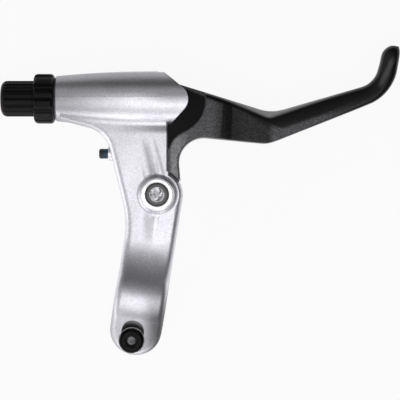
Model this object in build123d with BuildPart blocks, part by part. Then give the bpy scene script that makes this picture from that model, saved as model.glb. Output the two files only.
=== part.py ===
"""Bicycle brake lever: clamp body, finger lever, pivot and cable adjuster. Millimetres."""
import os
from math import atan2, cos, degrees, radians, sin, sqrt, tan

from build123d import *

os.makedirs("parts", exist_ok=True)

# Fits shared by the pieces
running_fit = 0.05
thread_fit = 0.04
face_gap = 0.05

# Handlebar clamp
bar_radius = 11.1
clamp_fit = 0.05
clamp_wall = 3.5
clamp_end_centre = 12.0
ear_slope = 30.0
split_gap = 1.6
clamp_radius = bar_radius + clamp_wall

# Clamp bolt, M6 socket head
clamp_bolt_radius = 3.0
clamp_bolt_offset = 16.4
clamp_bolt_side = -1.0
clamp_head_radius = 4.9
clamp_head_height = 6.0
clamp_head_round = 1.2
clamp_tail_chamfer = 0.6
clamp_hex_flats = 5.0
clamp_hex_depth = 3.2
clamp_bolt_reach = 11.2
clamp_seat_height = 3.6
clamp_seat_margin = 0.3
clamp_seat_run = 7.25
clamp_seat_tip = 2.2
clamp_seat_tip_width = 4.2
clamp_hole_clearance = 0.25

# Rough forms that are trimmed to the finished outline
slab_left = -44.0
slab_right = 12.0
slab_inset = 1.9
slab_back = 30.0
form_length = 80.0
barrel_rough_end = 30.0

# Lever frame: pivot axis ahead of the bar, cable axis ahead of the pivot
cable_tilt = 9.0
pivot_reach = 43.0
cable_reach = 38.9
slab_front = pivot_reach + cable_reach - slab_inset

# Arm
arm_half_height = 6.2
body_half_width = 10.3
arm_blend = 24.0
rim_round = 2.8
neck_round = 40.0
web_round = 12.2
plate_edge = 4.3
plate_rim = 0.9
plate_rim_end = 31.0
web_top_x = -20.98
web_top_y = 25.46
web_foot_x = -12.9
web_foot_y = -7.5
web_tail_x = -39.0
web_tail_y = 30.1
blank_inner_y = 36.0

# Arm face relief, a wide valley and a fine groove that bend at the pivot
valley_half_width = 2.0
valley_depth = 0.32
valley_head_x = -6.9
valley_head_y = 24.6
valley_bend_x = -2.1
valley_tail_x = -3.7
valley_tail_y = -18.6
groove_half_width = 1.1
groove_depth = 0.18
groove_head_x = -2.3
groove_head_y = 24.0
groove_bend_x = 0.9
groove_tail_x = -0.5
groove_tail_y = -14.4
relief_fade = 0.04
relief_lift = 0.03

# Barrel on the cable axis
barrel_mouth = -41.5
barrel_mouth_radius = 9.2
barrel_mid = -22.5
barrel_mid_radius = 10.55
barrel_shoulder = 2.0
barrel_shoulder_radius = 11.2
mouth_chamfer = 0.9
nose_slope = 41.0
nose_corner_x = 2.6
nose_corner_y = 49.6
nose_tip_x = 15.1
nose_round = 6.0
nose_foot_y = 27.3
nose_foot_round = 3.0
barrel_blend = 4.0
cable_bore_radius = 1.5
cable_slit = 2.2

# Lever slot in the body
slot_half_height = 3.75
slot_eye_radius = 9.6
slot_exit_y = -3.6
slot_wall_x = -7.0
slot_wall_top = 23.0
slot_throat_x = 0.4
slot_throat_y = 36.0

# Reach screw, M4 set screw
reach_screw_radius = 2.0
reach_screw_y = 16.65
reach_boss_left = -19.9
reach_boss_length = 4.0
reach_boss_radius = 2.9
reach_screw_left = -23.6
reach_hex_flats = 2.0
reach_hex_depth = 2.2
reach_chamfer = 0.5
reach_stop_gap = 0.05

# Cable adjuster, M10 hollow stem
stem_radius = 5.0
stem_hole_depth = 17.0
stem_reach = 13.5
stem_neck_radius = 4.5
stem_shoulder = 0.05
stem_seat_radius = 3.1
stem_seat_depth = 9.0
stem_cable_radius = 1.4
knob_left = -63.2
knob_right = -49.95
knob_radius = 7.25
knob_mouth_radius = 3.6
knob_lip = 1.7
knob_end_round = 2.6
knob_foot_round = 0.8
knob_flutes = 16
knob_flute_radius = 1.5
knob_flute_depth = 0.45
ring_left = -49.8
ring_right = -41.65
ring_radius = 10.1
ring_rim_round = 1.6
ring_lobes = 12
ring_lobe_radius = 2.6
ring_lobe_depth = 0.7

# Lever blade, seen from above in the lever frame
blade_root_x = 26.7
blade_root_y = 39.03
blade_valley_x = 46.0
blade_valley_y = 33.1
blade_valley_round = 17.0
blade_hook_x = 87.9
blade_hook_y = 45.2
blade_hook_round = 10.0
blade_tip_x = 90.9
blade_tip_y = 57.2
back_root_x = 25.4
back_root_y = 22.48
back_valley_x = 44.7
back_valley_y = 20.5
back_valley_round = 15.0
back_hook_x = 95.1
back_hook_y = 40.3
back_hook_round = 19.0
back_tip_x = 97.9
back_tip_y = 56.0
# Sections along the blade past its root, each at a share of its length
shoulder_shares = (0.05, 0.13, 0.20)
valley_shares = (0.235, 0.27, 0.30, 0.335, 0.37)
finger_shares = (0.56, 0.67, 0.74)
hook_shares = (0.77, 0.80, 0.83, 0.86, 0.89, 0.92, 0.96, 1.0)
blade_half_heights = (
    *(5.2, 5.15, 5.1),
    *(5.08, 5.07, 5.06, 5.05, 5.03),
    *(4.9, 4.75, 4.65),
    *(4.6, 4.56, 4.51, 4.47, 4.43, 4.38, 4.29, 4.2),
)
blade_front_rounds = (
    *(3.0, 3.9, 6.1),
    *(7.0, 7.5, 7.6, 7.6, 7.6),
    *(7.5, 7.1, 6.55),
    *(6.2, 5.7, 5.2, 4.8, 4.5, 4.2, 3.85, 3.5),
)
blade_front_flats = (
    *(3.0, 2.5, 1.8),
    *(1.5, 1.2, 1.05, 0.95, 0.9),
    *(0.75, 0.7, 0.7),
    *(0.7, 0.7, 0.7, 0.7, 0.7, 0.7, 0.7, 0.7),
)
blade_back_rounds = (
    *(0.8, 0.8, 0.8),
    *(0.82, 0.85, 0.87, 0.9, 0.93),
    *(1.1, 1.35, 1.55),
    *(1.65, 1.85, 2.05, 2.25, 2.45, 2.65, 2.85, 3.0),
)
blade_back_rise = blade_back_rounds
tip_steps = (2.3, 3.8)
tip_scales = (0.80, 0.45)
tip_lean = 0.2
root_half_height = 6.4
root_front_round = 2.8
root_back_round = 0.8
root_edge_round = 0.9
root_inner_inset = 3.1
root_foot_inset = 1.4
root_foot_y = 4.0
root_inner_round = 10.2
shoulder_plate_gap = 0.45
shoulder_low_y = 21.8
shoulder_high_x = 18.85
shoulder_high_y = 31.0
shoulder_low_round = 8.0
shoulder_high_round = 12.5
tongue_half_height = 3.2
tongue_eye_radius = 9.0
tongue_stop_x = -5.5
tongue_stop_top = 22.5
tongue_head_x = 2.4
tongue_head_y = 36.8
tongue_corner_round = 3.0
eye_clearance = 0.5
tongue_lap = 2.0
tongue_inset = 0.4

# Cable end seat in the blade
nipple_radius = 3.55
nipple_x = 8.3
nipple_top = 2.0
nipple_window = 1.1

# Pivot bushes
bush_outer_radius = 4.0
bush_flange_radius = 6.2
bush_flange = 0.5
bush_length = 2.9

# Pivot
washer_radius = 6.35
washer_thickness = 0.8
washer_chamfer = 0.25
washer_clearance = 0.2
pivot_head_radius = 4.85
pivot_head_height = 2.4
pivot_head_chamfer = 0.3
pivot_tail_chamfer = 0.5
pivot_hex_flats = 5.0
pivot_hex_depth = 1.9
pivot_nut_flats = 10.0
pivot_nut_height = 4.0
pivot_bolt_tail = 0.8
pivot_bolt_radius = 3.0
pivot_boss_base = 8.8
pivot_boss_top = 6.6
pivot_boss_height = 8.0
pivot_boss_sink = 0.06


def lever_point(x, y):
    """Place a point of the lever frame in the clamp frame."""
    turn = radians(cable_tilt)
    return (x * cos(turn) - y * sin(turn), pivot_reach + x * sin(turn) + y * cos(turn))


turn_cos = cos(radians(cable_tilt))
turn_sin = sin(radians(cable_tilt))
cable_run = (turn_cos, turn_sin, 0)
pivot_x, pivot_y = lever_point(0, 0)
cable_x, cable_y = lever_point(0, cable_reach)
lever_plane = Plane(origin=(pivot_x, pivot_y, 0), x_dir=cable_run, z_dir=(0, 0, 1))
cable_plane = Plane(origin=(cable_x, cable_y, 0), x_dir=cable_run, z_dir=(turn_sin, -turn_cos, 0))
cable_axis = Axis((cable_x, cable_y, 0), cable_run)
reach_x, reach_y = lever_point(0, reach_screw_y)
reach_plane = Plane(origin=(reach_x, reach_y, 0), x_dir=(0, 0, 1), z_dir=cable_run)
mouth_x, mouth_y = lever_point(barrel_mouth, cable_reach)
mouth_plane = Plane(origin=(mouth_x, mouth_y, 0), x_dir=(0, 0, 1), z_dir=cable_run)
side_plane = Plane(origin=(0, 0, 0), x_dir=(0, 1, 0), z_dir=(1, 0, 0))


# Flanks of clamp and arm seen from above, each one smooth run
web_top = lever_point(web_top_x, web_top_y)
web_foot = lever_point(web_foot_x, web_foot_y)
neck_share = (-body_half_width - web_top[0]) / (web_foot[0] - web_top[0])
neck_corner = (-body_half_width, web_top[1] + neck_share * (web_foot[1] - web_top[1]))
left_flank = FilletPolyline(
    (-body_half_width, -clamp_end_centre),
    neck_corner,
    web_top,
    lever_point(web_tail_x, web_tail_y),
    radius=(neck_round, web_round),
)
eye_rise = sqrt(body_half_width ** 2 - plate_edge ** 2)
eye_end = lever_point(plate_edge, eye_rise)
eye_turn = radians(degrees(atan2(eye_rise, plate_edge)) + cable_tilt) / 2
eye_mid = (pivot_x + body_half_width * cos(eye_turn), pivot_y + body_half_width * sin(eye_turn))
right_flank = Line((body_half_width, -clamp_end_centre), (body_half_width, pivot_y))
eye_flank = ThreePointArc((body_half_width, pivot_y), eye_mid, eye_end)
clamp_end = ThreePointArc(
    (-body_half_width, -clamp_end_centre),
    (0, -clamp_end_centre - body_half_width),
    (body_half_width, -clamp_end_centre),
)
plate_flank = Polyline(
    eye_end,
    lever_point(plate_edge, blank_inner_y),
    lever_point(web_tail_x, blank_inner_y),
    lever_point(web_tail_x, web_tail_y),
)

valley_head = lever_point(valley_head_x, valley_head_y)
valley_bend = lever_point(valley_bend_x, 0)
valley_tail = lever_point(valley_tail_x, valley_tail_y)
groove_head = lever_point(groove_head_x, groove_head_y)
groove_bend = lever_point(groove_bend_x, 0)
groove_tail = lever_point(groove_tail_x, groove_tail_y)
relief_lines = (
    (valley_head, valley_bend, valley_half_width, valley_depth),
    (valley_tail, valley_bend, valley_half_width, valley_depth),
    (groove_head, groove_bend, groove_half_width, groove_depth),
    (groove_tail, groove_bend, groove_half_width, groove_depth),
)


def relief_section(half_width, depth):
    """Shallow round hollow below the arm face."""
    hollow = ThreePointArc((-half_width, relief_lift), (0, -depth), (half_width, relief_lift))
    return make_face([hollow, Line((half_width, relief_lift), (-half_width, relief_lift))])


relief_forms = []
for side in (1, -1):
    for head, bend, half_width, depth in relief_lines:
        run = Vector(bend[0] - head[0], bend[1] - head[1], 0)
        across = Vector(-run.Y, run.X, 0) * side
        start = Plane(origin=(head[0], head[1], side * arm_half_height), x_dir=across, z_dir=run)
        finish = Plane(origin=(bend[0], bend[1], side * arm_half_height), x_dir=across, z_dir=run)
        shallow = start.location * relief_section(half_width, relief_fade)
        deep = finish.location * relief_section(half_width, depth)
        relief_forms.append(loft([shallow, deep]))


def rim_over(rim, flank, side):
    """Tell whether an edge is the upper or lower rim over a flank."""
    spot = rim @ 0.5
    ends = (rim @ 0) - (rim @ 1)
    level = Vector(ends.X, ends.Y, 0).length > 0.01
    over = flank.distance_to(Vector(spot.X, spot.Y, 0)) < 0.01
    return over and level and spot.Z * side > split_gap


# Barrel turned about the cable axis, longer than finished at its right end
with BuildPart() as barrel_blank:
    with BuildSketch(cable_plane):
        with BuildLine():
            Line((barrel_mouth, 0), (barrel_mouth, barrel_mouth_radius - mouth_chamfer))
            Line(
                (barrel_mouth, barrel_mouth_radius - mouth_chamfer),
                (barrel_mouth + mouth_chamfer, barrel_mouth_radius),
            )
            ThreePointArc(
                (barrel_mouth + mouth_chamfer, barrel_mouth_radius),
                (barrel_mid, barrel_mid_radius),
                (barrel_shoulder, barrel_shoulder_radius),
            )
            Line((barrel_shoulder, barrel_shoulder_radius), (barrel_rough_end, barrel_shoulder_radius))
            Line((barrel_rough_end, barrel_shoulder_radius), (barrel_rough_end, 0))
            Line((barrel_rough_end, 0), (barrel_mouth, 0))
        make_face()
    revolve(axis=cable_axis)

# Heights of clamp ring, ears and arm, blended into the barrel
with BuildPart() as slab_form:
    with BuildSketch(side_plane.offset(slab_left)) as side_view:
        Circle(clamp_radius)
        with Locations((slab_front / 2, 0)):
            Rectangle(slab_front, 2 * arm_half_height)
        ear_top = (-clamp_radius * sin(radians(ear_slope)), clamp_radius * cos(radians(ear_slope)))
        ear_bottom = (ear_top[0], -ear_top[1])
        Polygon((0, 0), ear_top, (-clamp_radius / sin(radians(ear_slope)), 0), ear_bottom, align=None)
        arm_corners = side_view.vertices().filter_by_position(Axis.X, 1, clamp_radius)
        fillet(arm_corners, arm_blend)
    extrude(amount=slab_right - slab_left)

with BuildPart() as height_form:
    add(slab_form.part)
    add(barrel_blank.part)
    seam = new_edges(slab_form.part, barrel_blank.part, combined=height_form.part)
    fillet(seam.filter_by_position(Axis.Z, 1, clamp_radius), barrel_blend)
    seam = new_edges(slab_form.part, barrel_blank.part, combined=height_form.part)
    fillet(seam.filter_by_position(Axis.Z, -clamp_radius, -1), barrel_blend)
    # Shallow relief along both arm faces
    for relief in relief_forms:
        add(relief, mode=Mode.SUBTRACT)

# Outline of clamp and arm, cut to those heights and rounded along its rims
with BuildPart() as arm_form:
    with BuildSketch(Plane.XY):
        with BuildLine():
            add(left_flank)
            add(clamp_end)
            add(right_flank)
            add(eye_flank)
            add(plate_flank)
        make_face()
    extrude(amount=clamp_radius, both=True)
    add(height_form.part, mode=Mode.INTERSECT)
    fillet(arm_form.edges().filter_by(lambda rim: rim_over(rim, right_flank, 1)), rim_round)
    fillet(arm_form.edges().filter_by(lambda rim: rim_over(rim, right_flank, -1)), rim_round)
    # Small round along the plate beside the lever
    with BuildSketch(Plane(origin=(*eye_end, 0), x_dir=lever_plane.x_dir, z_dir=lever_plane.y_dir)):
        with Locations((0, arm_half_height), (0, -arm_half_height)):
            Rectangle(2 * plate_rim, 2 * plate_rim)
        with Locations((-plate_rim, arm_half_height - plate_rim), (-plate_rim, plate_rim - arm_half_height)):
            Circle(plate_rim, mode=Mode.SUBTRACT)
    extrude(amount=plate_rim_end - eye_rise, mode=Mode.SUBTRACT)

# Barrel cut to the nose outline
with BuildPart() as barrel_form:
    add(barrel_blank.part)
    with BuildSketch(lever_plane) as nose_view:
        with BuildLine():
            nose_rise = form_length * tan(radians(nose_slope))
            nose_drop = (nose_tip_x - nose_corner_x) * tan(radians(nose_slope))
            Polyline(
                (-form_length, 0),
                (-form_length, nose_corner_y + nose_rise),
                (nose_corner_x - form_length, nose_corner_y + nose_rise),
                (nose_tip_x, nose_corner_y - nose_drop),
                (plate_edge, nose_foot_y),
                (plate_edge, 0),
                close=True,
            )
        make_face()
        fillet(nose_view.vertices().sort_by(Axis.X)[-1], nose_round)
        nose_foot = nose_view.vertices().filter_by_position(Axis.Y, nose_foot_y - 0.1, nose_foot_y + 0.1)
        fillet(nose_foot.sort_by(Axis.X)[0], nose_foot_round)
    extrude(amount=form_length / 2, both=True, mode=Mode.INTERSECT)

# Lever body: barrel, arm and clamp in one casting
with BuildPart() as lever_body:
    add(arm_form.part)
    add(barrel_form.part)
    # Raised pivot bosses
    boss_foot = arm_half_height - pivot_boss_sink
    with BuildSketch(Plane.XZ.offset(-pivot_y)):
        with BuildLine():
            Line((0, -pivot_boss_height), (0, pivot_boss_height))
            Line((0, pivot_boss_height), (pivot_boss_top, pivot_boss_height))
            EllipticalCenterArc(
                (pivot_boss_base, pivot_boss_height),
                pivot_boss_base - pivot_boss_top,
                pivot_boss_height - boss_foot,
                180,
                arc_size=90,
            )
            Line((pivot_boss_base, boss_foot), (pivot_boss_base, -boss_foot))
            EllipticalCenterArc(
                (pivot_boss_base, -pivot_boss_height),
                pivot_boss_base - pivot_boss_top,
                pivot_boss_height - boss_foot,
                90,
                arc_size=90,
            )
            Line((pivot_boss_top, -pivot_boss_height), (0, -pivot_boss_height))
        make_face()
    revolve(axis=Axis((pivot_x, pivot_y, 0), (0, 0, 1)))
    # Boss of the reach screw
    with BuildSketch(reach_plane.offset(reach_boss_left)):
        Circle(reach_boss_radius)
    extrude(amount=reach_boss_length)
    # Slot that takes the root of the blade
    with BuildSketch(lever_plane):
        with BuildLine():
            Polyline(
                (slot_wall_x, slot_exit_y),
                (slot_wall_x, slot_wall_top),
                (slot_throat_x, slot_throat_y),
                (slot_throat_x, form_length),
                (form_length, form_length),
                (form_length, slot_exit_y),
                close=True,
            )
        make_face()
        Circle(slot_eye_radius)
    extrude(amount=slot_half_height, both=True, mode=Mode.SUBTRACT)
    # Threaded hole of the adjuster, cable bore and cable slit
    with BuildSketch(mouth_plane):
        Circle(stem_radius + thread_fit)
    extrude(amount=stem_hole_depth, mode=Mode.SUBTRACT)
    with BuildSketch(mouth_plane):
        Circle(cable_bore_radius)
    extrude(amount=slot_throat_x - barrel_mouth + 1, mode=Mode.SUBTRACT)
    with BuildSketch(cable_plane):
        with Locations(((barrel_mouth + slot_throat_x) / 2, -barrel_shoulder_radius)):
            Rectangle(slot_throat_x - barrel_mouth + 2, 2 * barrel_shoulder_radius)
    extrude(amount=cable_slit / 2, both=True, mode=Mode.SUBTRACT)
    # Opening under the nose for the cable end
    with BuildSketch(lever_plane):
        with Locations((nipple_x, cable_reach)):
            Circle(nipple_radius + nipple_window)
    extrude(amount=-2 * barrel_shoulder_radius, mode=Mode.SUBTRACT)
    # Pivot hole
    with BuildSketch(lever_plane):
        Circle(pivot_bolt_radius + running_fit)
    extrude(amount=form_length / 2, both=True, mode=Mode.SUBTRACT)
    # Reach screw hole
    with BuildSketch(reach_plane.offset(reach_boss_left - 1)):
        Circle(reach_screw_radius + thread_fit)
    extrude(amount=slot_wall_x - reach_boss_left + 2, mode=Mode.SUBTRACT)
    # Handlebar bore, split and clamp bolt hole with its sloping seat
    with BuildSketch(side_plane):
        Circle(bar_radius + clamp_fit)
    extrude(amount=form_length / 2, both=True, mode=Mode.SUBTRACT)
    with BuildSketch(side_plane):
        with Locations((-slab_back / 2, 0)):
            Rectangle(slab_back, split_gap)
    extrude(amount=form_length / 2, both=True, mode=Mode.SUBTRACT)
    with BuildSketch(Plane((clamp_bolt_side, -clamp_bolt_offset, 0))):
        Circle(clamp_bolt_radius + clamp_hole_clearance)
    extrude(amount=clamp_radius, mode=Mode.SUBTRACT)
    with BuildSketch(Plane((clamp_bolt_side, -clamp_bolt_offset, 0))):
        Circle(clamp_bolt_radius + thread_fit)
    extrude(amount=-clamp_radius, mode=Mode.SUBTRACT)
    seat_rise = clamp_radius - clamp_seat_height + 1
    with BuildSketch(Plane((clamp_bolt_side, -clamp_bolt_offset, clamp_seat_height))):
        Circle(clamp_head_radius + clamp_seat_margin)
    extrude(amount=seat_rise, mode=Mode.SUBTRACT)
    with BuildSketch(Plane((clamp_bolt_side, -clamp_bolt_offset, clamp_seat_height))):
        Circle(clamp_head_radius)
    with BuildSketch(Plane((clamp_bolt_side, clamp_seat_run - clamp_bolt_offset, clamp_radius))):
        Ellipse(clamp_seat_tip_width, clamp_seat_tip)
    loft(mode=Mode.SUBTRACT)

lever_body.part.label = "lever_body"
export_step(lever_body.part, "parts/lever_body.step")

# Finger edge and back edge of the blade
front_edge = FilletPolyline(
    (blade_root_x, blade_root_y),
    (blade_valley_x, blade_valley_y),
    (blade_hook_x, blade_hook_y),
    (blade_tip_x, blade_tip_y),
    radius=(blade_valley_round, blade_hook_round),
)
back_edge = FilletPolyline(
    (back_root_x, back_root_y),
    (back_valley_x, back_valley_y),
    (back_hook_x, back_hook_y),
    (back_tip_x, back_tip_y),
    radius=(back_valley_round, back_hook_round),
)


def blade_section(front, back, half_height, front_round, front_flat, back_round, back_rise):
    """Section of the blade from its back edge to its finger edge, standing on the lever frame."""
    along = front - back
    width = along.length
    back_flat = half_height - back_rise
    front_middle = width - front_round
    front_rise = half_height - front_flat
    edges = [
        Line((0, -back_flat), (0, back_flat)),
        EllipticalCenterArc((back_round, back_flat), back_round, back_rise, 90, arc_size=90),
        Line((back_round, half_height), (front_middle, half_height)),
        EllipticalCenterArc((front_middle, front_flat), front_round, front_rise, 0, arc_size=90),
        Line((width, front_flat), (width, -front_flat)),
        EllipticalCenterArc((front_middle, -front_flat), front_round, front_rise, 270, arc_size=90),
        Line((front_middle, -half_height), (back_round, -half_height)),
        EllipticalCenterArc((back_round, -back_flat), back_round, back_rise, 180, arc_size=90),
    ]
    stand = Plane(origin=back, x_dir=along, z_dir=(along.Y, -along.X, 0))
    return lever_plane.location * (stand.location * make_face(edges))


# First section: the end face of the root, cut askew to its rounded edges
root_end = ((front_edge @ 0) - (back_edge @ 0)).normalized()
front_run = front_edge % 0
back_run = back_edge % 0
front_skew = abs(root_end.X * front_run.Y - root_end.Y * front_run.X)
back_skew = abs(root_end.X * back_run.Y - root_end.Y * back_run.X)
root_section = blade_section(
    front_edge @ 0,
    back_edge @ 0,
    root_half_height,
    root_front_round / front_skew,
    root_half_height - root_front_round,
    root_back_round / back_skew,
    root_back_round,
)
blade_sections = [root_section]
for share, half, f_round, f_flat, b_round, b_rise in zip(
    shoulder_shares + valley_shares + finger_shares + hook_shares,
    blade_half_heights,
    blade_front_rounds,
    blade_front_flats,
    blade_back_rounds,
    blade_back_rise,
):
    section = blade_section(front_edge @ share, back_edge @ share, half, f_round, f_flat, b_round, b_rise)
    blade_sections.append(section)
tip_front = front_edge @ 1
tip_back = back_edge @ 1
tip_middle = tip_back + (tip_front - tip_back) * tip_lean
tip_along = Vector(-(tip_front - tip_back).Y, (tip_front - tip_back).X, 0).normalized() * -1
for step, scale_by in zip(tip_steps, tip_scales):
    front_at = tip_middle + (tip_front - tip_middle) * scale_by + tip_along * step
    back_at = tip_middle + (tip_back - tip_middle) * scale_by + tip_along * step
    blade_sections.append(
        blade_section(
            front_at,
            back_at,
            blade_half_heights[-1] * scale_by,
            blade_front_rounds[-1] * scale_by,
            blade_front_flats[-1] * scale_by,
            blade_back_rounds[-1] * scale_by,
            blade_back_rise[-1] * scale_by,
        )
    )

shoulder_end = len(shoulder_shares)
valley_end = shoulder_end + len(valley_shares)
finger_end = valley_end + len(finger_shares)

front_fall = (blade_valley_y - blade_root_y) / (blade_valley_x - blade_root_x)


def finger_line(x):
    """Height of the straight finger edge of the root."""
    return blade_root_y + (x - blade_root_x) * front_fall


# Thick root of the blade beside the body
shoulder_x = plate_edge + shoulder_plate_gap
eye_outer = body_half_width + eye_clearance
root_inner_x = eye_outer - root_inner_inset
root_foot_x = eye_outer - root_foot_inset
back_fall = (back_valley_y - back_root_y) / (back_valley_x - back_root_x)
shoulder_line = FilletPolyline(
    (shoulder_x, 0),
    (shoulder_x, shoulder_low_y),
    (shoulder_high_x, shoulder_high_y),
    (shoulder_high_x, finger_line(shoulder_high_x)),
    radius=(shoulder_low_round, shoulder_high_round),
)
root_front_line = Line((shoulder_high_x, finger_line(shoulder_high_x)), (blade_root_x, blade_root_y))
root_back_line = FilletPolyline(
    (back_root_x, back_root_y),
    (root_inner_x, back_root_y + (root_inner_x - back_root_x) * back_fall),
    (root_foot_x, root_foot_y),
    radius=root_inner_round,
)


def lies_on(rim, line):
    """Tell whether an edge lies over a line of the lever frame, on either face of the root."""
    spot = lever_plane.to_local_coords(rim @ 0.5)
    over = line.distance_to(Vector(spot.X, spot.Y, 0)) < 0.01
    return over and abs(abs(spot.Z) - root_half_height) < 0.01


with BuildPart() as root_form:
    with BuildSketch(lever_plane):
        with BuildLine():
            add(shoulder_line)
            add(root_front_line)
            Line((blade_root_x, blade_root_y), (back_root_x, back_root_y))
            add(root_back_line)
            Polyline((root_foot_x, root_foot_y), (root_foot_x, 0), (shoulder_x, 0))
        make_face()
        Circle(eye_outer, mode=Mode.SUBTRACT)
    extrude(amount=root_half_height, both=True)
    fillet(root_form.edges().filter_by(lambda rim: lies_on(rim, root_front_line)), root_front_round)
    fillet(root_form.edges().filter_by(lambda rim: lies_on(rim, root_back_line)), root_back_round)
    fillet(root_form.edges().filter_by(lambda rim: lies_on(rim, shoulder_line)), root_edge_round)

# Lever blade: root, finger blade and slotted tongue in one forging
with BuildPart() as lever_blade:
    loft(blade_sections[: shoulder_end + 1], ruled=True)
    loft(blade_sections[shoulder_end : valley_end + 1])
    loft(blade_sections[valley_end : finger_end + 1], ruled=True)
    loft(blade_sections[finger_end:])
    add(root_form.part)
    with BuildSketch(lever_plane):
        with BuildLine():
            FilletPolyline(
                (tongue_stop_x, 0),
                (tongue_stop_x, tongue_stop_top),
                (tongue_head_x, tongue_head_y),
                (tongue_head_x, finger_line(tongue_head_x)),
                (shoulder_high_x + tongue_lap, finger_line(shoulder_high_x + tongue_lap)),
                (shoulder_high_x + tongue_lap, shoulder_high_y - 2 * tongue_lap),
                (shoulder_x + tongue_lap, shoulder_low_y - 2 * tongue_lap),
                (shoulder_x + tongue_lap, 0),
                radius=(0, 0, tongue_corner_round, 0, 0, 0),
            )
            Line((shoulder_x + tongue_lap, 0), (tongue_stop_x, 0))
        make_face()
        Circle(tongue_eye_radius)
        Polygon(
            (shoulder_x, root_foot_y),
            (root_foot_x - tongue_inset, root_foot_y),
            (root_inner_x - tongue_inset, shoulder_low_y - 2 * tongue_lap),
            (shoulder_x, shoulder_low_y - 2 * tongue_lap),
            align=None,
        )
    extrude(amount=tongue_half_height, both=True)
    # Bore of the pivot bushes
    with BuildSketch(lever_plane):
        Circle(bush_outer_radius)
    extrude(amount=tongue_half_height, both=True, mode=Mode.SUBTRACT)
    # Seat of the cable end with its slot
    with BuildSketch(lever_plane.offset(nipple_top)):
        with Locations((nipple_x, cable_reach)):
            Circle(nipple_radius)
    extrude(amount=-2 * root_half_height, mode=Mode.SUBTRACT)
    with BuildSketch(lever_plane.offset(cable_slit / 2)):
        with Locations((nipple_x / 2, cable_reach)):
            Rectangle(nipple_x, cable_slit)
    extrude(amount=-2 * root_half_height, mode=Mode.SUBTRACT)

lever_blade.part.label = "lever_blade"
export_step(lever_blade.part, "parts/lever_blade.step")

# Flanged bushes in the blade
with BuildPart() as upper_bush:
    with BuildSketch(lever_plane.offset(tongue_half_height - bush_length)):
        Circle(bush_outer_radius)
    extrude(amount=bush_length)
    with BuildSketch(lever_plane.offset(tongue_half_height)):
        Circle(bush_flange_radius)
    extrude(amount=bush_flange)
    with BuildSketch(lever_plane):
        Circle(pivot_bolt_radius + running_fit)
    extrude(amount=pivot_boss_height, mode=Mode.SUBTRACT)
upper_bush.part.label = "upper_bush"
export_step(upper_bush.part, "parts/upper_bush.step")

with BuildPart() as lower_bush:
    with BuildSketch(lever_plane.offset(bush_length - tongue_half_height)):
        Circle(bush_outer_radius)
    extrude(amount=-bush_length)
    with BuildSketch(lever_plane.offset(-tongue_half_height)):
        Circle(bush_flange_radius)
    extrude(amount=-bush_flange)
    with BuildSketch(lever_plane):
        Circle(pivot_bolt_radius + running_fit)
    extrude(amount=-pivot_boss_height, mode=Mode.SUBTRACT)
lower_bush.part.label = "lower_bush"
export_step(lower_bush.part, "parts/lower_bush.step")

# Pivot washer, bolt and nut
with BuildPart() as pivot_washer:
    with BuildSketch(lever_plane.offset(pivot_boss_height)):
        Circle(washer_radius)
        Circle(pivot_bolt_radius + washer_clearance, mode=Mode.SUBTRACT)
    extrude(amount=washer_thickness)
    chamfer(pivot_washer.faces().sort_by(Axis.Z)[-1].outer_wire().edges(), washer_chamfer)
pivot_washer.part.label = "pivot_washer"
export_step(pivot_washer.part, "parts/pivot_washer.step")

pivot_head_seat = pivot_boss_height + washer_thickness
with BuildPart() as pivot_bolt:
    with BuildSketch(lever_plane.offset(pivot_head_seat)):
        Circle(pivot_head_radius)
    extrude(amount=pivot_head_height)
    chamfer(pivot_bolt.faces().sort_by(Axis.Z)[-1].edges(), pivot_head_chamfer)
    with BuildSketch(lever_plane.offset(pivot_head_seat)):
        Circle(pivot_bolt_radius)
    extrude(amount=-pivot_head_seat - pivot_boss_height - pivot_nut_height - pivot_bolt_tail)
    chamfer(pivot_bolt.faces().sort_by(Axis.Z)[0].edges(), pivot_tail_chamfer)
    with BuildSketch(lever_plane.offset(pivot_head_seat + pivot_head_height)):
        RegularPolygon(pivot_hex_flats / 2, 6, major_radius=False)
    extrude(amount=-pivot_hex_depth, mode=Mode.SUBTRACT)
pivot_bolt.part.label = "pivot_bolt"
export_step(pivot_bolt.part, "parts/pivot_bolt.step")

with BuildPart() as pivot_nut:
    with BuildSketch(lever_plane.offset(-pivot_boss_height)):
        RegularPolygon(pivot_nut_flats / 2, 6, major_radius=False)
        Circle(pivot_bolt_radius + thread_fit, mode=Mode.SUBTRACT)
    extrude(amount=-pivot_nut_height)
pivot_nut.part.label = "pivot_nut"
export_step(pivot_nut.part, "parts/pivot_nut.step")

# Reach screw, its tip against the stop face of the blade
with BuildPart() as reach_screw:
    with BuildSketch(reach_plane.offset(reach_screw_left)):
        Circle(reach_screw_radius)
    extrude(amount=tongue_stop_x - reach_stop_gap - reach_screw_left)
    chamfer(reach_screw.edges().filter_by(GeomType.CIRCLE), reach_chamfer)
    with BuildSketch(reach_plane.offset(reach_screw_left)):
        RegularPolygon(reach_hex_flats / 2, 6, major_radius=False)
    extrude(amount=reach_hex_depth, mode=Mode.SUBTRACT)
reach_screw.part.label = "reach_screw"
export_step(reach_screw.part, "parts/reach_screw.step")

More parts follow.
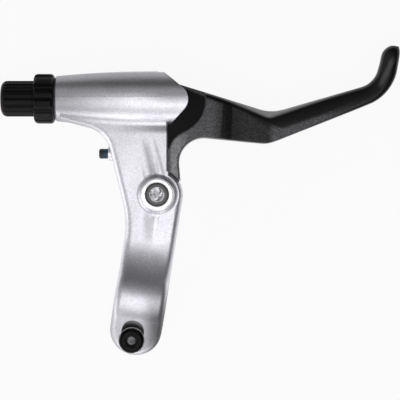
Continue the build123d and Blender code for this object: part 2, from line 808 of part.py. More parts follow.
# Clamp bolt
with BuildPart() as clamp_bolt:
    with BuildSketch(Plane((clamp_bolt_side, -clamp_bolt_offset, clamp_seat_height))):
        Circle(clamp_head_radius)
    extrude(amount=clamp_head_height)
    fillet(clamp_bolt.faces().sort_by(Axis.Z)[-1].edges(), clamp_head_round)
    with BuildSketch(Plane((clamp_bolt_side, -clamp_bolt_offset, clamp_seat_height))):
        Circle(clamp_bolt_radius)
    extrude(amount=-clamp_bolt_reach)
    chamfer(clamp_bolt.faces().sort_by(Axis.Z)[0].edges(), clamp_tail_chamfer)
    with BuildSketch(Plane((clamp_bolt_side, -clamp_bolt_offset, clamp_seat_height + clamp_head_height))):
        RegularPolygon(clamp_hex_flats / 2, 6, major_radius=False)
    extrude(amount=-clamp_hex_depth, mode=Mode.SUBTRACT)
clamp_bolt.part.label = "clamp_bolt"
export_step(clamp_bolt.part, "parts/clamp_bolt.step")

# Hollow adjuster stem
stem_left = knob_left + knob_lip
stem_right = barrel_mouth + stem_reach
slit_height = barrel_shoulder_radius
with BuildPart() as adjuster_stem:
    with BuildSketch(cable_plane):
        with BuildLine():
            Polyline(
                (stem_left, stem_seat_radius),
                (stem_left, stem_neck_radius),
                (knob_right + stem_shoulder, stem_neck_radius),
                (knob_right + stem_shoulder, stem_radius),
                (stem_right, stem_radius),
                (stem_right, stem_cable_radius),
                (stem_left + stem_seat_depth, stem_cable_radius),
                (stem_left + stem_seat_depth, stem_seat_radius),
                close=True,
            )
        make_face()
    revolve(axis=cable_axis)
    with BuildSketch(cable_plane):
        with Locations(((stem_left + stem_right) / 2, -slit_height / 2)):
            Rectangle(stem_right - stem_left + 2, slit_height)
    extrude(amount=cable_slit / 2, both=True, mode=Mode.SUBTRACT)
adjuster_stem.part.label = "adjuster_stem"
export_step(adjuster_stem.part, "parts/adjuster_stem.step")

# Fluted adjuster knob
with BuildPart() as adjuster_knob:
    with BuildSketch(cable_plane) as knob_view:
        with BuildLine():
            Polyline(
                (knob_left, knob_mouth_radius),
                (knob_left, knob_radius),
                (knob_right, knob_radius),
                (knob_right, stem_neck_radius + running_fit),
                (knob_left + knob_lip - face_gap, stem_neck_radius + running_fit),
                (knob_left + knob_lip - face_gap, knob_mouth_radius),
                close=True,
            )
        make_face()
        outer_corners = knob_view.vertices().filter_by_position(Axis.Y, knob_radius - 0.1, knob_radius + 0.1)
        fillet(outer_corners.sort_by(Axis.X)[0], knob_end_round)
        fillet(outer_corners.sort_by(Axis.X)[-1], knob_foot_round)
    revolve(axis=cable_axis)
    with BuildSketch(mouth_plane.offset(knob_left - barrel_mouth)):
        with PolarLocations(knob_radius + knob_flute_radius - knob_flute_depth, knob_flutes):
            Circle(knob_flute_radius)
    extrude(amount=knob_right - knob_left, mode=Mode.SUBTRACT)
    with BuildSketch(cable_plane):
        with Locations(((knob_left + knob_right) / 2, -slit_height / 2)):
            Rectangle(knob_right - knob_left + 2, slit_height)
    extrude(amount=cable_slit / 2, both=True, mode=Mode.SUBTRACT)
adjuster_knob.part.label = "adjuster_knob"
export_step(adjuster_knob.part, "parts/adjuster_knob.step")

# Scalloped lock ring
with BuildPart() as lock_ring:
    with BuildSketch(cable_plane) as ring_view:
        with BuildLine():
            Polyline(
                (ring_left, stem_radius + running_fit),
                (ring_left, ring_radius),
                (ring_right, ring_radius),
                (ring_right, stem_radius + running_fit),
                close=True,
            )
        make_face()
        rim_corners = ring_view.vertices().filter_by_position(Axis.Y, ring_radius - 0.1, ring_radius + 0.1)
        fillet(rim_corners, ring_rim_round)
    revolve(axis=cable_axis)
    with BuildSketch(mouth_plane.offset(ring_left - barrel_mouth)):
        with PolarLocations(ring_radius + ring_lobe_radius - ring_lobe_depth, ring_lobes):
            Circle(ring_lobe_radius)
    extrude(amount=ring_right - ring_left, mode=Mode.SUBTRACT)
    with BuildSketch(cable_plane):
        with Locations(((ring_left + ring_right) / 2, -slit_height / 2)):
            Rectangle(ring_right - ring_left + 2, slit_height)
    extrude(amount=cable_slit / 2, both=True, mode=Mode.SUBTRACT)
lock_ring.part.label = "lock_ring"
export_step(lock_ring.part, "parts/lock_ring.step")
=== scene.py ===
"""Bicycle brake lever: finishes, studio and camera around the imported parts. Metres."""
import math

import bpy
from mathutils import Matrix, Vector


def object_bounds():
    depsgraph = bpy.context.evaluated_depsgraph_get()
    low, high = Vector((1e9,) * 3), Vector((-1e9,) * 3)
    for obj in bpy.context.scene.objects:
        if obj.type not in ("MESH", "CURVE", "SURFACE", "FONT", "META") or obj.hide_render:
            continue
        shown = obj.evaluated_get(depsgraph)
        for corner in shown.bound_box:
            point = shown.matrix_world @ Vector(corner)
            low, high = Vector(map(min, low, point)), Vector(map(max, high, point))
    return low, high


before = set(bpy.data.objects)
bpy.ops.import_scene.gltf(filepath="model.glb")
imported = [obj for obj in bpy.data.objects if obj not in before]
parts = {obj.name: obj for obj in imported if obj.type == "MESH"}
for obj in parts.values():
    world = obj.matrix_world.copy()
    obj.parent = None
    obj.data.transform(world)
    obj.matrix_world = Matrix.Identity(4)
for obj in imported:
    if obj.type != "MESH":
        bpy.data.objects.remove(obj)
cad_low, cad_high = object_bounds()

# Directions: the pivot stands ahead of the bar, and the cable axis is turned from the bar
BAR_CENTRE = Vector((0, 0, 0))
PIVOT = Vector((0, 0.043, 0))
CABLE_TILT = math.radians(9)
OUTWARD = Vector((-math.cos(CABLE_TILT), -math.sin(CABLE_TILT), 0))
INWARD = -OUTWARD
FORWARD = Vector((-math.sin(CABLE_TILT), math.cos(CABLE_TILT), 0))
BACKWARD = -FORWARD
UP = Vector((0, 0, 1))
ALONG_BAR = Vector((1, 0, 0))

# Screws: their axes, the floors of their sockets and the blue patch on the reach screw
CLAMP_BOLT_AXIS = Vector((-0.001, -0.0164, 0))
REACH_SCREW_AXIS = PIVOT + FORWARD * 0.01665
PIVOT_SOCKET_RADIUS = 0.0029
CLAMP_SOCKET_RADIUS = 0.0015
SOCKET_TO_RING = 1.3
BLUE_PATCH = (REACH_SCREW_AXIS, OUTWARD, (0.0214, 0.0222))

# Sunk seat of the clamp bolt, inside the round skin of the clamp, where shade is painted
SEAT_REACH = 0.0098
SEAT_RADIUS = 0.00515
CLAMP_SKIN_RADIUS = 0.0141
SEAT_HEIGHT = (BAR_CENTRE, UP, (0.002, 0.0025))

# A band is a start, an axis, the two distances between which it rises and, where it ends again,
# the two between which it falls
RELIEF_SIDE = INWARD * 0.967 + FORWARD * 0.253
OVER_BOSS = (PIVOT, FORWARD, (0.0040, 0.0085), (0.0170, 0.0250))
UNDER_BOSS = (PIVOT, FORWARD, (-0.0230, -0.0130), (-0.0100, -0.0050))
CLAMP_END = (BAR_CENTRE, BACKWARD, (-0.008, 0.011), (0.030, 0.031))

# Painted shade in the body's paint: a level, and the bands that overlap there
BODY_PAINTED_SHADE = (
    # painted shade in the valley under the barrel, deeper towards the nose
    (0.36, (PIVOT, FORWARD, (0.0240, 0.0262), (0.0272, 0.0286)), (PIVOT, INWARD, (-0.022, 0.006))),
    # painted shade on the barrel towards its cable end
    (0.58, (PIVOT, OUTWARD, (0.006, 0.040), (0.0406, 0.0410)),
     (PIVOT, FORWARD, (0.024, 0.026), (0.0385, 0.0425))),
    # painted shade on the crest of the nose
    (0.58, (PIVOT, INWARD, (-0.010, 0.005)), (PIVOT, FORWARD, (0.0345, 0.0385), (0.0395, 0.0420))),
    # painted shade on the front flank of the barrel
    (0.52, (PIVOT, FORWARD, (0.0418, 0.0448), (0.0490, 0.0500))),
    # painted shade of the broad and narrow relief above the boss, and of the one below it
    (0.66, OVER_BOSS, (PIVOT, RELIEF_SIDE, (-0.0022, 0.0004), (0.0010, 0.0030))),
    (0.66, OVER_BOSS, (PIVOT, RELIEF_SIDE, (0.0036, 0.0044), (0.0047, 0.0055))),
    (0.66, UNDER_BOSS, (PIVOT, INWARD, (-0.0068, -0.0040), (-0.0034, -0.0010))),
    # painted shade on the lower end of the clamp, deepest on its right side
    (0.62, CLAMP_END),
    (0.24, CLAMP_END, (BAR_CENTRE, INWARD, (-0.001, 0.0068))),
)

# Lever: the polished finger edge over root and blade, a painted reflection along its rim, and a painted
# highlight along the hook
ROOT_BORDER = INWARD * 0.386 + FORWARD * 0.923
BLADE_BORDER = INWARD * -0.327 + FORWARD * 0.945
HOOK_SIDE = INWARD * 0.899 + FORWARD * -0.437
HOOK_RUN = INWARD * 0.437 + FORWARD * 0.899
POLISHED_EDGE = ((PIVOT, ROOT_BORDER, (0.0435, 0.0443)), (PIVOT, BLADE_BORDER, (0.0078, 0.0096)))
POLISHED_HOOK = (PIVOT, INWARD, (0.062, 0.082))
# painted reflection along the finger rim
RIM_PAINTED_REFLECTION = (
    (PIVOT, ROOT_BORDER, (0.0452, 0.0468)),
    (PIVOT, BLADE_BORDER, (0.0136, 0.0156)),
    (PIVOT, OUTWARD, (-0.086, -0.076)),
)
# painted highlight along the hook
HOOK_PAINTED_HIGHLIGHT = (
    (PIVOT, HOOK_SIDE, (0.0600, 0.0612), (0.0619, 0.0631)),
    (PIVOT, HOOK_RUN, (0.077, 0.081), (0.088, 0.093)),
)
HOOK_HIGHLIGHT_STRENGTH = 0.13

# Lever: the pocket beside the nose, painted near-black as shade, and the tones along its flats, with
# painted shade along their middle and on the slope and painted light beside the plate
POCKET_CORNER = PIVOT + INWARD * 0.00475 + FORWARD * 0.0218
POCKET_SIDE = INWARD * -0.546 + FORWARD * 0.837
POCKET = ((POCKET_CORNER, POCKET_SIDE, (-0.0030, -0.0022)), (PIVOT, OUTWARD, (-0.0196, -0.0193)))
POCKET_HEIGHT = (0.0034, 0.0044)
FLAT_MIDDLE = (PIVOT, INWARD, (0.0205, 0.0274), (0.0445, 0.0475))
FLAT_SLOPE = (PIVOT, INWARD, (0.0270, 0.0280), (0.0296, 0.0370))
# painted shade on the slope of the flats
SLOPE_PAINTED_SHADE_LEVEL = 0.68
BESIDE_PLATE = (PIVOT, OUTWARD, (-0.014, -0.008))

# Tones
SILVER = (0.80, 0.79, 0.842)
# painted shade of the clamp bolt's seat
SEAT_PAINTED_SHADE = (0.60, 0.60, 0.615)
# polished black, also painted as shade in the pocket beside the nose
POLISHED_AND_SHADE_BLACK = (0.005, 0.005, 0.005)
# grey of the painted reflection along the finger rim and of the painted highlight along the hook
PAINTED_REFLECTION_GREY = (0.48, 0.48, 0.49)
SPECKLED_BLACK = (0.082, 0.081, 0.087)
# painted shade along the middle of the lever's flats
MIDDLE_PAINTED_SHADE = (0.030, 0.030, 0.030)
# painted light on the lever's flats beside the plate
PLATE_SIDE_PAINTED_LIGHT = (0.19, 0.188, 0.198)
KNOB_BLACK = (0.004, 0.004, 0.004)
RING_BLACK = (0.003, 0.003, 0.003)
STEM_BLACK = (0.012, 0.012, 0.012)
PIVOT_SOCKET = (0.42, 0.42, 0.437)
PIVOT_HEAD = (0.13, 0.13, 0.132)
NUT_SOCKET = (0.2, 0.2, 0.2)
NUT_BLACK = (0.05, 0.05, 0.05)
CLAMP_SOCKET = (0.075, 0.075, 0.078)
CLAMP_HEAD = (0.005, 0.005, 0.006)
WASHER_STEEL = (0.70, 0.70, 0.71)
BRONZE = (0.55, 0.38, 0.2)
LOCKING_BLUE = (0.009, 0.042, 0.085)
SET_SCREW_BLACK = (0.012, 0.012, 0.012)

# Studio
FLOOR_LEVEL = cad_low.z - 0.0001
FLOOR_REACH = 3.0
FLOOR_TONE = (0.8, 0.8, 0.8, 1.0)
FLOOR_GLOW = 0.92
WHITE = (1.0, 1.0, 1.0, 1.0)
BRIGHT_SIDE = Vector((-0.60, -0.50, 0.62)).normalized()
STUDIO_LEVELS = ((0.0, 0.06), (0.40, 0.08), (0.55, 0.12), (0.68, 0.22), (0.80, 0.36), (0.92, 0.45))
# name, place, aim, size and power of each lamp
SOFTBOXES = (
    ("overhead_softbox", (0.07, -0.12, 0.5), (0.07, -0.12, 0.0), (0.30, 0.46), 0.90),
    ("left_softbox", (-0.45, -0.30, 0.12), (0.0, 0.03, 0.0), (0.7, 0.2), 1.0),
    ("front_softbox", (0.08, -0.45, 0.07), (0.0, 0.06, 0.0), (0.5, 0.14), 0.8),
)
CAMERA_HEIGHT = 0.70
CAMERA_PLACE = Vector((0.01732, 0.04362, CAMERA_HEIGHT))
FIELD_OF_VIEW = 0.162
SENSOR = 36.0


def place(tree, kind, inputs=None, **settings):
    """Add a shader node with its settings, and fill or link its inputs by name or number."""
    node = tree.nodes.new(kind)
    for name, value in settings.items():
        setattr(node, name, value)
    for socket, value in (inputs or {}).items():
        if isinstance(value, bpy.types.NodeSocket):
            tree.links.new(value, node.inputs[socket])
        else:
            node.inputs[socket].default_value = value
    return node


def effect_group(name, inputs, outputs):
    """Start a shader node group with named sockets; return its tree, its inputs and its end node."""
    tree = bpy.data.node_groups.new(name, "ShaderNodeTree")
    for label, kind in inputs:
        tree.interface.new_socket(label, in_out="INPUT", socket_type=kind)
    for label, kind in outputs:
        tree.interface.new_socket(label, in_out="OUTPUT", socket_type=kind)
    start = tree.nodes.new("NodeGroupInput")
    end = tree.nodes.new("NodeGroupOutput")
    return tree, start.outputs, end


def reciprocal(tree, value):
    """One over a value, which turns a grain's size into a texture's scale."""
    return place(tree, "ShaderNodeMath", {0: 1.0, 1: value}, operation="DIVIDE").outputs[0]


def make_metal_flake():
    """Small flakes of uneven brightness, as in metallic paint."""
    tree, given, end = effect_group(
        "Metal flake",
        [("Position", "NodeSocketVector"), ("Flake Size", "NodeSocketFloat"),
         ("Contrast", "NodeSocketFloat")],
        [("Brightness", "NodeSocketFloat")],
    )
    flakes = place(
        tree,
        "ShaderNodeTexVoronoi",
        {"Vector": given["Position"], "Scale": reciprocal(tree, given["Flake Size"])},
    )
    shade = place(tree, "ShaderNodeSeparateColor", {0: flakes.outputs["Color"]}).outputs[0]
    low = place(tree, "ShaderNodeMath", {0: 1.0, 1: given["Contrast"]}, operation="SUBTRACT")
    high = place(tree, "ShaderNodeMath", {0: 1.0, 1: given["Contrast"]}, operation="ADD")
    spread = place(
        tree,
        "ShaderNodeMapRange",
        {"Value": shade, "To Min": low.outputs[0], "To Max": high.outputs[0]},
    )
    tree.links.new(spread.outputs["Result"], end.inputs["Brightness"])
    return tree


def make_smudges():
    """Broad soft patches where handling has left the surface a little duller."""
    tree, given, end = effect_group(
        "Smudges",
        [("Position", "NodeSocketVector"), ("Patch Size", "NodeSocketFloat"), ("Clean", "NodeSocketFloat"),
         ("Dull", "NodeSocketFloat")],
        [("Roughness", "NodeSocketFloat")],
    )
    cloud = place(
        tree,
        "ShaderNodeTexNoise",
        {"Vector": given["Position"], "Scale": reciprocal(tree, given["Patch Size"]), "Detail": 4.0},
    )
    spread = place(
        tree,
        "ShaderNodeMapRange",
        {"Value": cloud.outputs[0], "From Min": 0.3, "From Max": 0.7, "To Min": given["Clean"],
         "To Max": given["Dull"]},
    )
    tree.links.new(spread.outputs["Result"], end.inputs["Roughness"])
    return tree


def make_skin_grain():
    """Fine uneven skin of a casting or a moulding, as a height."""
    tree, given, end = effect_group(
        "Skin grain",
        [("Position", "NodeSocketVector"), ("Grain Size", "NodeSocketFloat")],
        [("Height", "NodeSocketFloat")],
    )
    grain = place(
        tree,
        "ShaderNodeTexNoise",
        {"Vector": given["Position"], "Scale": reciprocal(tree, given["Grain Size"]), "Detail": 5.0,
         "Roughness": 0.65},
    )
    tree.links.new(grain.outputs[0], end.inputs["Height"])
    return tree


def make_round_patch():
    """Mask of the points near a line, such as a socket's floor around its axis."""
    tree, given, end = effect_group(
        "Round patch",
        [("Position", "NodeSocketVector"), ("Centre", "NodeSocketVector"), ("Axis", "NodeSocketVector"),
         ("Radius", "NodeSocketFloat"), ("Softness", "NodeSocketFloat")],
        [("Mask", "NodeSocketFloat")],
    )
    offset = place(
        tree, "ShaderNodeVectorMath", {0: given["Position"], 1: given["Centre"]}, operation="SUBTRACT"
    )
    across = place(
        tree, "ShaderNodeVectorMath", {0: offset.outputs[0], 1: given["Axis"]}, operation="CROSS_PRODUCT"
    )
    distance = place(
        tree, "ShaderNodeVectorMath", {0: across.outputs[0]}, operation="LENGTH"
    ).outputs["Value"]
    outer = place(tree, "ShaderNodeMath", {0: given["Radius"], 1: given["Softness"]}, operation="ADD")
    mask = place(
        tree,
        "ShaderNodeMapRange",
        {"Value": distance, "From Min": given["Radius"], "From Max": outer.outputs[0], "To Min": 1.0,
         "To Max": 0.0},
        interpolation_type="SMOOTHSTEP",
    )
    tree.links.new(mask.outputs["Result"], end.inputs["Mask"])
    return tree


def make_span():
    """Share from 0 to 1 between two distances along an axis."""
    tree, given, end = effect_group(
        "Span",
        [("Position", "NodeSocketVector"), ("Start", "NodeSocketVector"), ("Axis", "NodeSocketVector"),
         ("From", "NodeSocketFloat"), ("To", "NodeSocketFloat")],
        [("Share", "NodeSocketFloat")],
    )
    offset = place(
        tree, "ShaderNodeVectorMath", {0: given["Position"], 1: given["Start"]}, operation="SUBTRACT"
    )
    along = place(
        tree, "ShaderNodeVectorMath", {0: offset.outputs[0], 1: given["Axis"]}, operation="DOT_PRODUCT"
    ).outputs["Value"]
    share = place(
        tree,
        "ShaderNodeMapRange",
        {"Value": along, "From Min": given["From"], "From Max": given["To"]},
        interpolation_type="SMOOTHSTEP",
    )
    tree.links.new(share.outputs["Result"], end.inputs["Share"])
    return tree


metal_flake = make_metal_flake()
smudges = make_smudges()
skin_grain = make_skin_grain()
round_patch = make_round_patch()
span = make_span()


def start_finish(name):
    """New material; return it with its tree, its shader and the point in the piece's own frame."""
    finish = bpy.data.materials.new(name)
    finish.use_nodes = True
    tree = finish.node_tree
    shader = tree.nodes["Principled BSDF"]
    point = place(tree, "ShaderNodeTexCoord").outputs["Object"]
    return finish, tree, shader, point


def effect(tree, group, **inputs):
    """Place an effect group in a material; underscores in its input names stand for spaces."""
    node = tree.nodes.new("ShaderNodeGroup")
    node.node_tree = group
    for name, value in inputs.items():
        socket = node.inputs[name.replace("_", " ")]
        if isinstance(value, bpy.types.NodeSocket):
            tree.links.new(value, socket)
        else:
            socket.default_value = value
    return node.outputs


def blend_tone(tree, mask, first, second):
    """Colour that goes from the first tone to the second with a mask."""
    node = place(tree, "ShaderNodeMix", {"Factor": mask}, data_type="RGBA")
    for socket, tone in ((node.inputs[6], first), (node.inputs[7], second)):
        if isinstance(tone, bpy.types.NodeSocket):
            tree.links.new(tone, socket)
        else:
            socket.default_value = (*tone, 1.0)
    return node.outputs[2]


def blend_value(tree, mask, first, second):
    """Value that goes from the first to the second with a mask."""
    return place(tree, "ShaderNodeMix", {"Factor": mask, 2: first, 3: second}).outputs[0]


def tint(tree, tone, brightness):
    """A tone made lighter and darker by a brightness that varies over the surface."""
    if not isinstance(tone, bpy.types.NodeSocket):
        level = place(tree, "ShaderNodeCombineColor", {0: tone[0], 1: tone[1], 2: tone[2]}).outputs[0]
    else:
        level = tone
    return place(
        tree, "ShaderNodeVectorMath", {0: level, "Scale": brightness}, operation="SCALE"
    ).outputs[0]


def raise_surface(tree, shader, height, strength, distance):
    """Give a shader small bumps from a height."""
    bump = place(
        tree, "ShaderNodeBump", {"Height": height, "Strength": strength, "Distance": distance}
    )
    tree.links.new(bump.outputs["Normal"], shader.inputs["Normal"])


def overlap(tree, *masks):
    """Mask of the places that all the masks share."""
    shared = masks[0]
    for mask in masks[1:]:
        shared = place(tree, "ShaderNodeMath", {0: shared, 1: mask}, operation="MULTIPLY").outputs[0]
    return shared


def either(tree, first, second):
    """Mask of the places that one or both of two masks cover."""
    return place(tree, "ShaderNodeMath", {0: first, 1: second}, operation="MAXIMUM").outputs[0]


def band(tree, point, start, axis, rise, fall=None):
    """Mask that rises softly along an axis and, where a fall is given, ends softly again."""
    mask = effect(tree, span, Position=point, Start=start, Axis=axis, From=rise[0], To=rise[1])["Share"]
    if fall is None:
        return mask
    past = effect(tree, span, Position=point, Start=start, Axis=axis, From=fall[0], To=fall[1])["Share"]
    return place(tree, "ShaderNodeMath", {0: mask, 1: past}, operation="SUBTRACT").outputs[0]


def bands(tree, point, rows):
    """Mask of the places that several bands share."""
    return overlap(tree, *[band(tree, point, *row) for row in rows])


def near_axis(tree, point, centre, axis, radius, softness):
    """Mask of the points within a radius of an axis."""
    return effect(
        tree, round_patch, Position=point, Centre=centre, Axis=axis, Radius=radius, Softness=softness
    )["Mask"]


def darken(tree, tone, mask, level):
    """A tone brought down to a level inside a mask."""
    return tint(tree, tone, blend_value(tree, mask, 1.0, level))


def bolt_seat(tree, point):
    """Mask of the clamp bolt's sunk seat, above the middle of the clamp, where shade is painted."""
    around_screw = near_axis(tree, point, CLAMP_BOLT_AXIS, UP, SEAT_REACH, 0.0004)
    inside_skin = near_axis(tree, point, BAR_CENTRE, ALONG_BAR, CLAMP_SKIN_RADIUS, 0.0004)
    seat = near_axis(tree, point, CLAMP_BOLT_AXIS, UP, SEAT_RADIUS, 0.00015)
    seat = either(tree, overlap(tree, around_screw, inside_skin), seat)
    return overlap(tree, seat, band(tree, point, *SEAT_HEIGHT))


def silver_paint():
    """Speckled silver paint over the cast body, with painted shade on its barrel, nose, reliefs and clamp
    and in its bolt seat.
    """
    finish, tree, shader, point = start_finish("silver_body")
    flake = effect(tree, metal_flake, Position=point, Flake_Size=0.00042, Contrast=0.10)
    patch = effect(tree, smudges, Position=point, Patch_Size=0.011, Clean=0.42, Dull=0.50)
    grain = effect(tree, skin_grain, Position=point, Grain_Size=0.0009)
    paint = tint(tree, SILVER, flake["Brightness"])
    # painted shade: the paint darkened inside each band of the table
    for level, *rows in BODY_PAINTED_SHADE:
        paint = darken(tree, paint, bands(tree, point, rows), level)
    # painted shade: the seat under the clamp bolt darker silver
    paint = blend_tone(tree, bolt_seat(tree, point), paint, SEAT_PAINTED_SHADE)
    tree.links.new(paint, shader.inputs["Base Color"])
    tree.links.new(patch["Roughness"], shader.inputs["Roughness"])
    shader.inputs["Metallic"].default_value = 1.0
    shader.inputs["Coat Weight"].default_value = 0.15
    shader.inputs["Coat Roughness"].default_value = 0.2
    raise_surface(tree, shader, grain["Height"], 0.25, 0.00008)
    return finish


def nose_pocket(tree, point):
    """Mask of the smooth pocket beside the nose, near the lever's middle plane, where shade is painted
    near-black.
    """
    height = place(tree, "ShaderNodeSeparateXYZ", {0: point}).outputs["Z"]
    height = place(tree, "ShaderNodeMath", {0: height}, operation="ABSOLUTE").outputs[0]
    low = place(
        tree,
        "ShaderNodeMapRange",
        {"Value": height, "From Min": POCKET_HEIGHT[0], "From Max": POCKET_HEIGHT[1], "To Min": 1.0,
         "To Max": 0.0},
    ).outputs["Result"]
    return overlap(tree, bands(tree, point, POCKET), low)


def lever_flats(tree, point):
    """Tone of the speckled flats, with painted shade along the middle and on the slope, and painted light
    beside the plate.
    """
    flake = effect(tree, metal_flake, Position=point, Flake_Size=0.00036, Contrast=0.42)
    # painted shade along the middle and on the slope, painted light beside the plate
    tone = blend_tone(tree, band(tree, point, *FLAT_MIDDLE), SPECKLED_BLACK, MIDDLE_PAINTED_SHADE)
    tone = darken(tree, tone, band(tree, point, *FLAT_SLOPE), SLOPE_PAINTED_SHADE_LEVEL)
    tone = blend_tone(tree, band(tree, point, *BESIDE_PLATE), tone, PLATE_SIDE_PAINTED_LIGHT)
    return tint(tree, tone, flake["Brightness"])


def black_lever_paint():
    """Speckled dark paint on the lever's flats, polished black along its finger edge and hook, with
    painted shade and light on the flats and in the nose pocket, a painted reflection along the finger rim
    and a painted highlight along the hook.
    """
    finish, tree, shader, point = start_finish("black_blade")
    polished = either(tree, bands(tree, point, POLISHED_EDGE), band(tree, point, *POLISHED_HOOK))
    pocket = nose_pocket(tree, point)
    smooth = either(tree, polished, pocket)
    grain = effect(tree, skin_grain, Position=point, Grain_Size=0.0007)
    patch = effect(tree, smudges, Position=point, Patch_Size=0.013, Clean=0.20, Dull=0.27)
    # painted reflection along the finger rim and painted highlight along the hook, grey over the polished
    # black
    hook_highlight = overlap(tree, bands(tree, point, HOOK_PAINTED_HIGHLIGHT), HOOK_HIGHLIGHT_STRENGTH)
    painted_light = either(tree, bands(tree, point, RIM_PAINTED_REFLECTION), hook_highlight)
    polish_and_painted_light = blend_tone(tree, painted_light, POLISHED_AND_SHADE_BLACK, PAINTED_REFLECTION_GREY)
    # painted shade: the pocket beside the nose near-black
    polish_and_painted_light = blend_tone(tree, pocket, polish_and_painted_light, POLISHED_AND_SHADE_BLACK)
    paint = blend_tone(tree, smooth, lever_flats(tree, point), polish_and_painted_light)
    tree.links.new(paint, shader.inputs["Base Color"])
    tree.links.new(blend_value(tree, smooth, 0.42, patch["Roughness"]), shader.inputs["Roughness"])
    tree.links.new(blend_value(tree, polished, 0.95, 0.0), shader.inputs["Metallic"])
    shader.inputs["Specular IOR Level"].default_value = 0.4
    raise_surface(tree, shader, blend_value(tree, smooth, grain["Height"], 0.5), 0.45, 0.00016)
    return finish


def black_plastic(name, tone, dull):
    """Moulded black plastic with a faint skin."""
    finish, tree, shader, point = start_finish(name)
    grain = effect(tree, skin_grain, Position=point, Grain_Size=0.0006)
    patch = effect(tree, smudges, Position=point, Patch_Size=0.006, Clean=dull - 0.06, Dull=dull + 0.06)
    speck = effect(tree, metal_flake, Position=point, Flake_Size=0.0005, Contrast=0.25)
    tree.links.new(tint(tree, tone, speck["Brightness"]), shader.inputs["Base Color"])
    tree.links.new(patch["Roughness"], shader.inputs["Roughness"])
    shader.inputs["Specular IOR Level"].default_value = 0.12
    raise_surface(tree, shader, grain["Height"], 0.2, 0.00006)
    return finish


def steel_screw(name, axis_point, socket_radius, socket_tone, head_tone, dull):
    """Dark screw head, darkest at its outer ring, with a brighter floor in its socket."""
    finish, tree, shader, point = start_finish(name)
    floor = near_axis(tree, point, axis_point, UP, socket_radius, 0.0002)
    inner = near_axis(tree, point, axis_point, UP, socket_radius * SOCKET_TO_RING, 0.0003)
    speck = effect(tree, metal_flake, Position=point, Flake_Size=0.0009, Contrast=0.7)
    patch = effect(tree, smudges, Position=point, Patch_Size=0.004, Clean=dull - 0.08, Dull=dull + 0.06)
    grain = effect(tree, skin_grain, Position=point, Grain_Size=0.0005)
    bare = tint(tree, socket_tone, speck["Brightness"])
    ring = tint(tree, head_tone, blend_value(tree, inner, 0.5, 0.9))
    tree.links.new(blend_tone(tree, floor, ring, bare), shader.inputs["Base Color"])
    tree.links.new(patch["Roughness"], shader.inputs["Roughness"])
    tree.links.new(blend_value(tree, floor, 0.6, 1.0), shader.inputs["Metallic"])
    shader.inputs["Specular IOR Level"].default_value = 0.2
    raise_surface(tree, shader, grain["Height"], 0.2, 0.00006)
    return finish


def bright_steel(name, tone, dull):
    """Bare turned metal."""
    finish, tree, shader, point = start_finish(name)
    speck = effect(tree, metal_flake, Position=point, Flake_Size=0.0006, Contrast=0.06)
    patch = effect(tree, smudges, Position=point, Patch_Size=0.004, Clean=dull - 0.06, Dull=dull + 0.08)
    tree.links.new(tint(tree, tone, speck["Brightness"]), shader.inputs["Base Color"])
    tree.links.new(patch["Roughness"], shader.inputs["Roughness"])
    shader.inputs["Metallic"].default_value = 1.0
    return finish


def locking_screw():
    """Black set screw with a band of blue locking compound next to the body."""
    finish, tree, shader, point = start_finish("set_screw")
    speck = effect(tree, metal_flake, Position=point, Flake_Size=0.0005, Contrast=0.3)
    patch = effect(tree, smudges, Position=point, Patch_Size=0.002, Clean=0.35, Dull=0.6)
    grain = effect(tree, skin_grain, Position=point, Grain_Size=0.0007)
    tone = blend_tone(tree, band(tree, point, *BLUE_PATCH), LOCKING_BLUE, SET_SCREW_BLACK)
    tree.links.new(tint(tree, tone, speck["Brightness"]), shader.inputs["Base Color"])
    tree.links.new(patch["Roughness"], shader.inputs["Roughness"])
    raise_surface(tree, shader, grain["Height"], 0.4, 0.00012)
    return finish


def dress(finish, *names):
    """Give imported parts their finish."""
    for name in names:
        part = parts[name]
        part.data.materials.clear()
        part.data.materials.append(finish)


dress(silver_paint(), "lever_body")
dress(black_lever_paint(), "lever_blade")
dress(black_plastic("black_knob", KNOB_BLACK, 0.42), "adjuster_knob")
dress(black_plastic("black_ring", RING_BLACK, 0.38), "lock_ring")
dress(black_plastic("black_stem", STEM_BLACK, 0.35), "adjuster_stem")
dress(
    steel_screw("pivot_bolt_steel", PIVOT, PIVOT_SOCKET_RADIUS, PIVOT_SOCKET, PIVOT_HEAD, 0.42),
    "pivot_bolt",
)
dress(
    steel_screw("pivot_nut_steel", PIVOT, PIVOT_SOCKET_RADIUS, NUT_SOCKET, NUT_BLACK, 0.42),
    "pivot_nut",
)
dress(
    steel_screw("clamp_bolt_steel", CLAMP_BOLT_AXIS, CLAMP_SOCKET_RADIUS, CLAMP_SOCKET, CLAMP_HEAD, 0.36),
    "clamp_bolt",
)
dress(bright_steel("bright_washer", WASHER_STEEL, 0.3), "pivot_washer")
dress(bright_steel("bush_bronze", BRONZE, 0.4), "upper_bush", "lower_bush")
dress(locking_screw(), "reach_screw")


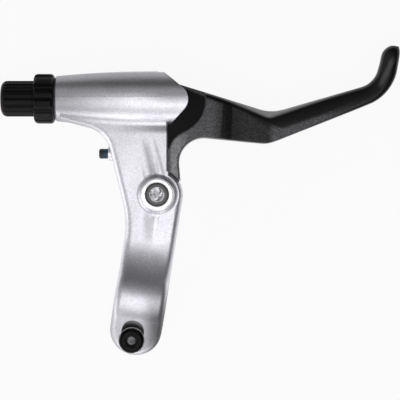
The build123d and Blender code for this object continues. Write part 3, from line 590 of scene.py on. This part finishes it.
def make_floor():
    """Pale floor under the part, white to the camera and in reflections, that keeps a soft shadow."""
    mesh = bpy.data.meshes.new("floor")
    reach = FLOOR_REACH
    corners = [(-reach, -reach, 0), (reach, -reach, 0), (reach, reach, 0), (-reach, reach, 0)]
    mesh.from_pydata(corners, [], [(0, 1, 2, 3)])
    floor = bpy.data.objects.new("floor", mesh)
    floor.location.z = FLOOR_LEVEL
    bpy.context.scene.collection.objects.link(floor)
    paint = bpy.data.materials.new("floor_white")
    paint.use_nodes = True
    tree = paint.node_tree
    tree.nodes.clear()
    ray = place(tree, "ShaderNodeLightPath").outputs
    mirrored = either(tree, ray["Is Glossy Ray"], ray["Is Transmission Ray"])
    seen = either(tree, ray["Is Camera Ray"], mirrored)
    share = place(tree, "ShaderNodeMath", {0: seen, 1: FLOOR_GLOW}, operation="MULTIPLY").outputs[0]
    matt = place(tree, "ShaderNodeBsdfDiffuse", {"Color": FLOOR_TONE}).outputs[0]
    white = place(tree, "ShaderNodeEmission", {"Color": WHITE, "Strength": 1.0}).outputs[0]
    top = place(tree, "ShaderNodeMixShader", {0: share, 1: matt, 2: white}).outputs[0]
    # seen from below the floor is clear, so that the underside shows
    below = place(tree, "ShaderNodeNewGeometry").outputs["Backfacing"]
    clear = place(tree, "ShaderNodeBsdfTransparent").outputs[0]
    sided = place(tree, "ShaderNodeMixShader", {0: below, 1: top, 2: clear}).outputs[0]
    place(tree, "ShaderNodeOutputMaterial", {"Surface": sided})
    mesh.materials.append(paint)


def make_surroundings():
    """Studio that is bright overhead and to the left, and darker ahead and to the right."""
    world = bpy.data.worlds.new("studio")
    bpy.context.scene.world = world
    world.use_nodes = True
    tree = world.node_tree
    tree.nodes.clear()
    direction = place(tree, "ShaderNodeTexCoord").outputs["Generated"]
    facing = place(
        tree, "ShaderNodeVectorMath", {0: direction, 1: BRIGHT_SIDE}, operation="DOT_PRODUCT"
    ).outputs["Value"]
    share = place(tree, "ShaderNodeMapRange", {"Value": facing, "From Min": -1.0, "From Max": 1.0})
    ramp = place(tree, "ShaderNodeValToRGB", {"Fac": share.outputs["Result"]})
    stops = ramp.color_ramp.elements
    while len(stops) < len(STUDIO_LEVELS):
        stops.new(0.5)
    for stop, (position, level) in zip(stops, STUDIO_LEVELS):
        stop.position = position
        stop.color = (level, level, level, 1.0)
    light = place(tree, "ShaderNodeBackground", {"Color": ramp.outputs["Color"], "Strength": 1.0})
    place(tree, "ShaderNodeOutputWorld", {"Surface": light.outputs[0]})


def make_softbox(name, place_at, aim, size, power):
    """Large soft lamp that looks at a point."""
    lamp = bpy.data.lights.new(name, "AREA")
    lamp.shape = "RECTANGLE"
    lamp.size, lamp.size_y = size
    lamp.energy = power
    holder = bpy.data.objects.new(name, lamp)
    holder.location = place_at
    holder.rotation_euler = (Vector(aim) - Vector(place_at)).to_track_quat("-Z", "Y").to_euler()
    bpy.context.scene.collection.objects.link(holder)


def make_camera():
    """Camera straight above the part, turned so that the cable axis lies level in the picture."""
    camera = bpy.data.cameras.new("camera")
    camera.sensor_width = SENSOR
    camera.lens = SENSOR * CAMERA_HEIGHT / FIELD_OF_VIEW
    holder = bpy.data.objects.new("camera", camera)
    holder.location = CAMERA_PLACE
    holder.rotation_euler = (0, 0, CABLE_TILT)
    bpy.context.scene.collection.objects.link(holder)
    bpy.context.scene.camera = holder


make_floor()
make_surroundings()
for softbox in SOFTBOXES:
    make_softbox(*softbox)
make_camera()
bpy.context.scene.view_settings.view_transform = "Standard"
